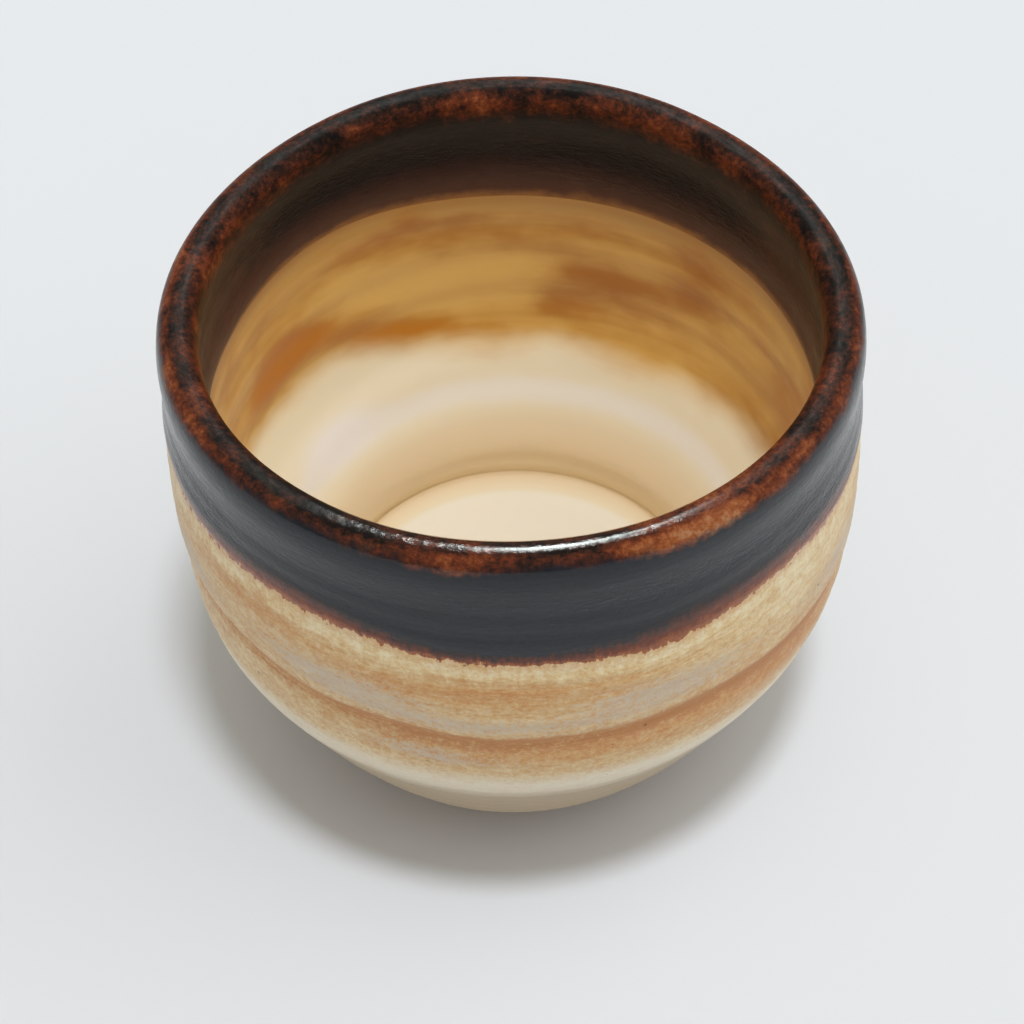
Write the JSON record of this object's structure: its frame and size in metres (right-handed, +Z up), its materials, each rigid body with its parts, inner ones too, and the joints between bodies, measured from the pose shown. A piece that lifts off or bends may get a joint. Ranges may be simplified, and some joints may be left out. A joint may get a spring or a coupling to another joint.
{
  "type": "footed cup",
  "caption": "Small hand-thrown stoneware cup on a turned foot ring, with a dark iron glaze over the lip and a cream glaze below, for tea or other drinks.",
  "frame": {"origin": "centre of the foot's resting circle, on the surface that the cup stands on", "axes": "+Z up along the cup's axis, +Y away from the viewer of the picture, +X to the right"},
  "size_m": [0.0682, 0.068, 0.055],
  "materials": {
    "clay": "bare fired stoneware, matte",
    "foot_clay": "bare fired stoneware, turned, matte",
    "dark_glaze": "iron glaze, blue-black with rust-brown breaks, satin to glossy",
    "cream_glaze": "cream glaze with brushed orange-brown streaks and iron specks, satin",
    "liner_glaze": "cream glaze with amber stains, glossy"
  },
  "bodies": {
    "root": {"clay_body": "clay", "foot_ring": "foot_clay", "rim_glaze": "dark_glaze", "body_glaze": "cream_glaze", "liner_glaze": "liner_glaze"}
  },
  "joints": []
}
